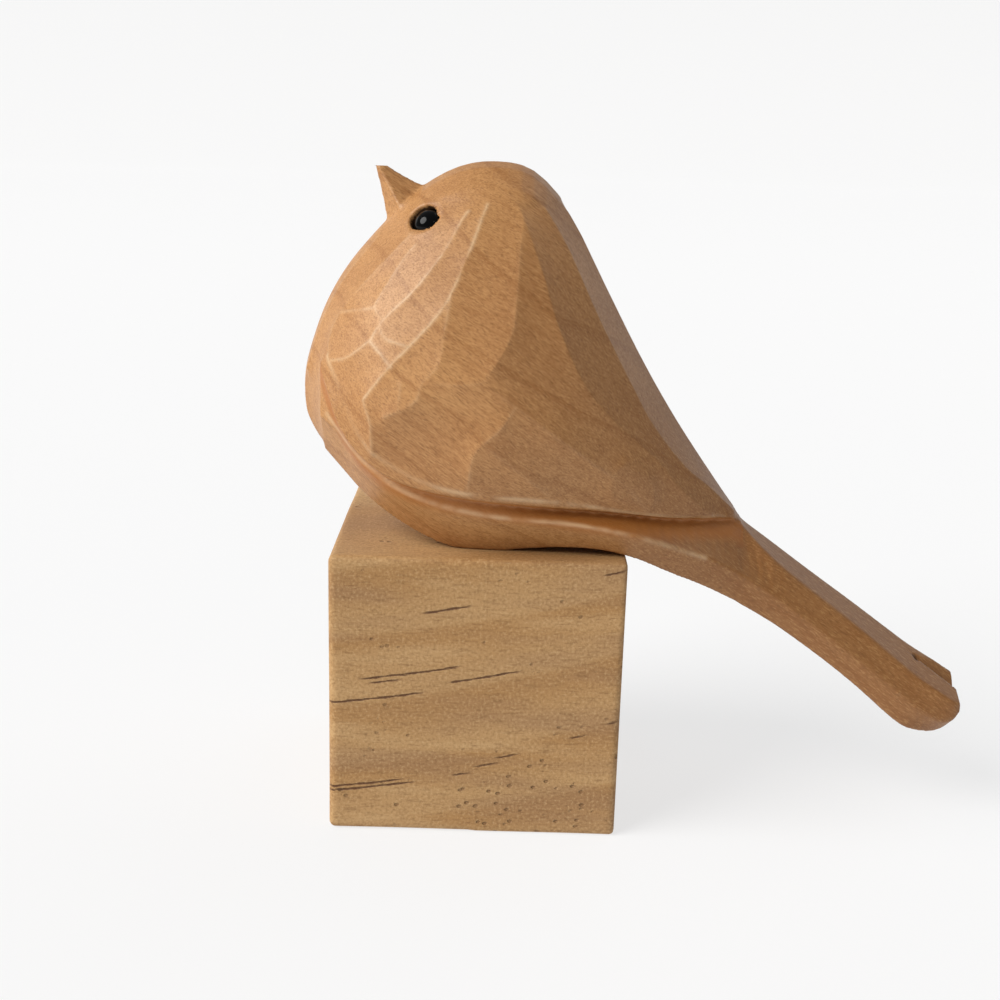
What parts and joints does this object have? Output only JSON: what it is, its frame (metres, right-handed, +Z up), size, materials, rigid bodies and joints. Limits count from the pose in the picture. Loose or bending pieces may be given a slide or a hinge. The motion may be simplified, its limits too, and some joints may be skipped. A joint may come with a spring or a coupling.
{
  "type": "carved bird ornament",
  "caption": "Hand-carved wooden songbird with bead eyes and a long down-swept tail, perched on a plain softwood block it lifts off.",
  "frame": {"origin": "middle of the block's underside", "axes": "+Z up, -X the way the bird faces, +X towards the tip of the tail, -Y the side of the bird's left eye"},
  "size_m": [0.0944, 0.0435, 0.0912],
  "materials": {
    "block_wood": "sanded, bare",
    "dowel_wood": "planed, bare",
    "bird_wood": "knife-cut, oiled satin",
    "bead_glass": "black, polished",
    "wire": "drawn"
  },
  "bodies": {
    "stand": {"block": "block_wood"},
    "bird": {"bird_body": "bird_wood", "dowel": "dowel_wood", "eye_left": "bead_glass", "eye_right": "bead_glass", "eye_pin_left": "wire", "eye_pin_right": "wire"}
  },
  "joints": [
    {"name": "bird_lift", "type": "slide", "parent": "stand", "child": "bird", "axis": [0, 0, 1], "range_m": [0, 0.013]}
  ]
}
